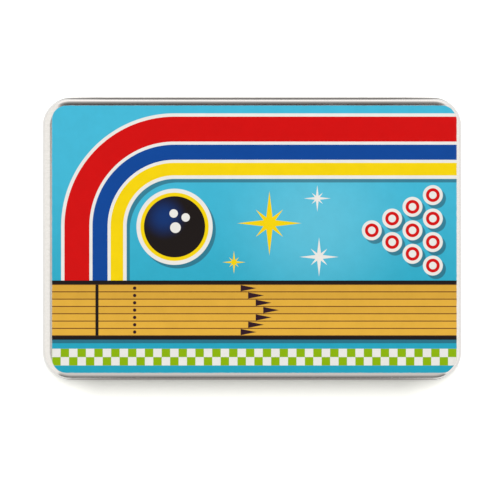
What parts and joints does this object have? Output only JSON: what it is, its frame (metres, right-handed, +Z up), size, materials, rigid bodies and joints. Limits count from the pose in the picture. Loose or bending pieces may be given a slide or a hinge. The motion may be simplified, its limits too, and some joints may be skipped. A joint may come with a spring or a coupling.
{
  "type": "tabletop bowling game",
  "caption": "Pocket bowling game packed in a flat rectangular slip-lid tin: small pins lying on a folded lane, with a glass ball.",
  "frame": {"origin": "on the surface the tin rests on, under the middle of the tin", "axes": "+X along the tin's long side, to the right of the printed lid; +Y up the printed lid; +Z up, out of the lid"},
  "size_m": [0.095, 0.064, 0.02],
  "materials": {
    "tinplate": "bright, lightly lacquered",
    "printed_tinplate": "gloss print on tinplate, bare at the edges",
    "lane_cloth": "printed, matt",
    "ball_glass": "mirror lustre in soft tints, over dark glass",
    "pin_plastic": "satin, moulded"
  },
  "bodies": {
    "base": {"tin_base": "tinplate"},
    "lid": {"tin_lid": "printed_tinplate"},
    "lane": {"lane_mat": "lane_cloth"},
    "ball": {"bowling_ball": "ball_glass"},
    "pin_01": {"pin_01": "pin_plastic"},
    "pin_02": {"pin_02": "pin_plastic"},
    "pin_03": {"pin_03": "pin_plastic"},
    "pin_04": {"pin_04": "pin_plastic"},
    "pin_05": {"pin_05": "pin_plastic"},
    "pin_06": {"pin_06": "pin_plastic"},
    "pin_07": {"pin_07": "pin_plastic"},
    "pin_08": {"pin_08": "pin_plastic"},
    "pin_09": {"pin_09": "pin_plastic"},
    "pin_10": {"pin_10": "pin_plastic"}
  },
  "joints": [
    {"name": "lid_lift", "type": "slide", "parent": "base", "child": "lid", "axis": [0, 0, 1], "range_m": [0, 0.1]},
    {"name": "ball_lift", "type": "slide", "parent": "base", "child": "ball", "axis": [0, 0, 1], "range_m": [0, 0.05]},
    {"name": "lane_lift", "type": "slide", "parent": "base", "child": "lane", "axis": [0, 0, 1], "range_m": [0, 0.025]},
    {"name": "pin_01_lift", "type": "slide", "parent": "base", "child": "pin_01", "axis": [0, 0, 1], "range_m": [0, 0.05]},
    {"name": "pin_02_lift", "type": "slide", "parent": "base", "child": "pin_02", "axis": [0, 0, 1], "range_m": [0, 0.05]},
    {"name": "pin_03_lift", "type": "slide", "parent": "base", "child": "pin_03", "axis": [0, 0, 1], "range_m": [0, 0.05]},
    {"name": "pin_04_lift", "type": "slide", "parent": "base", "child": "pin_04", "axis": [0, 0, 1], "range_m": [0, 0.05]},
    {"name": "pin_05_lift", "type": "slide", "parent": "base", "child": "pin_05", "axis": [0, 0, 1], "range_m": [0, 0.05]},
    {"name": "pin_06_lift", "type": "slide", "parent": "base", "child": "pin_06", "axis": [0, 0, 1], "range_m": [0, 0.05]},
    {"name": "pin_07_lift", "type": "slide", "parent": "base", "child": "pin_07", "axis": [0, 0, 1], "range_m": [0, 0.05]},
    {"name": "pin_08_lift", "type": "slide", "parent": "base", "child": "pin_08", "axis": [0, 0, 1], "range_m": [0, 0.05]},
    {"name": "pin_09_lift", "type": "slide", "parent": "base", "child": "pin_09", "axis": [0, 0, 1], "range_m": [0, 0.05]},
    {"name": "pin_10_lift", "type": "slide", "parent": "base", "child": "pin_10", "axis": [0, 0, 1], "range_m": [0, 0.05]}
  ],
  "couplings": [
    {"joint": "ball_lift", "follows": "lid_lift", "ratio": 0.5},
    {"joint": "lane_lift", "follows": "lid_lift", "ratio": 0.25},
    {"joint": "pin_01_lift", "follows": "lid_lift", "ratio": 0.5},
    {"joint": "pin_02_lift", "follows": "lid_lift", "ratio": 0.5},
    {"joint": "pin_03_lift", "follows": "lid_lift", "ratio": 0.5},
    {"joint": "pin_04_lift", "follows": "lid_lift", "ratio": 0.5},
    {"joint": "pin_05_lift", "follows": "lid_lift", "ratio": 0.5},
    {"joint": "pin_06_lift", "follows": "lid_lift", "ratio": 0.5},
    {"joint": "pin_07_lift", "follows": "lid_lift", "ratio": 0.5},
    {"joint": "pin_08_lift", "follows": "lid_lift", "ratio": 0.5},
    {"joint": "pin_09_lift", "follows": "lid_lift", "ratio": 0.5},
    {"joint": "pin_10_lift", "follows": "lid_lift", "ratio": 0.5}
  ]
}
